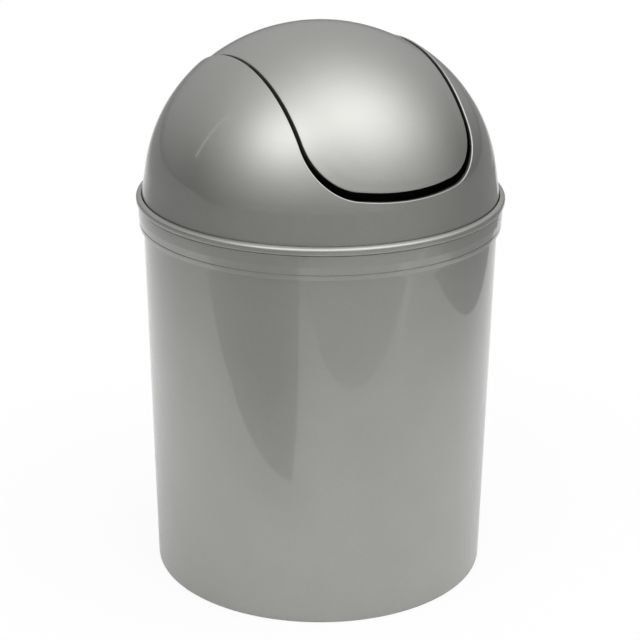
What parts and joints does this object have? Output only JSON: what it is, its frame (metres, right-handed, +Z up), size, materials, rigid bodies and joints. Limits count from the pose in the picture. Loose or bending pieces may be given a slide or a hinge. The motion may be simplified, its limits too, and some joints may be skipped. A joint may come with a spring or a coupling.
{
  "type": "countertop trash can",
  "caption": "Round tapered countertop trash can with a drop-in dome cover and an arched flap that swings both ways.",
  "frame": {"origin": "middle of the foot, on the surface that the can stands on", "axes": "+Z up along the can's axis; the flap swings about X, and its front end faces -Y"},
  "size_m": [0.1838, 0.1838, 0.2823],
  "materials": {
    "can_plastic": "moulded plastic with silver metallic pigment, glossy",
    "cover_plastic": "moulded plastic with silver metallic pigment, satin",
    "flap_plastic": "moulded plastic with silver metallic pigment, satin"
  },
  "bodies": {
    "can": {"can_body": "can_plastic"},
    "cover": {"dome_cover": "cover_plastic"},
    "flap": {"swing_flap": "flap_plastic"}
  },
  "joints": [
    {"name": "cover_lift", "type": "slide", "parent": "can", "child": "cover", "axis": [0, 0, 1], "range_m": [0, 0.12]},
    {"name": "flap_swing", "type": "hinge", "parent": "cover", "child": "flap", "pos_m": [0, 0, 0.26431], "axis": [1, 0, 0], "range_deg": [-90, 90]}
  ]
}
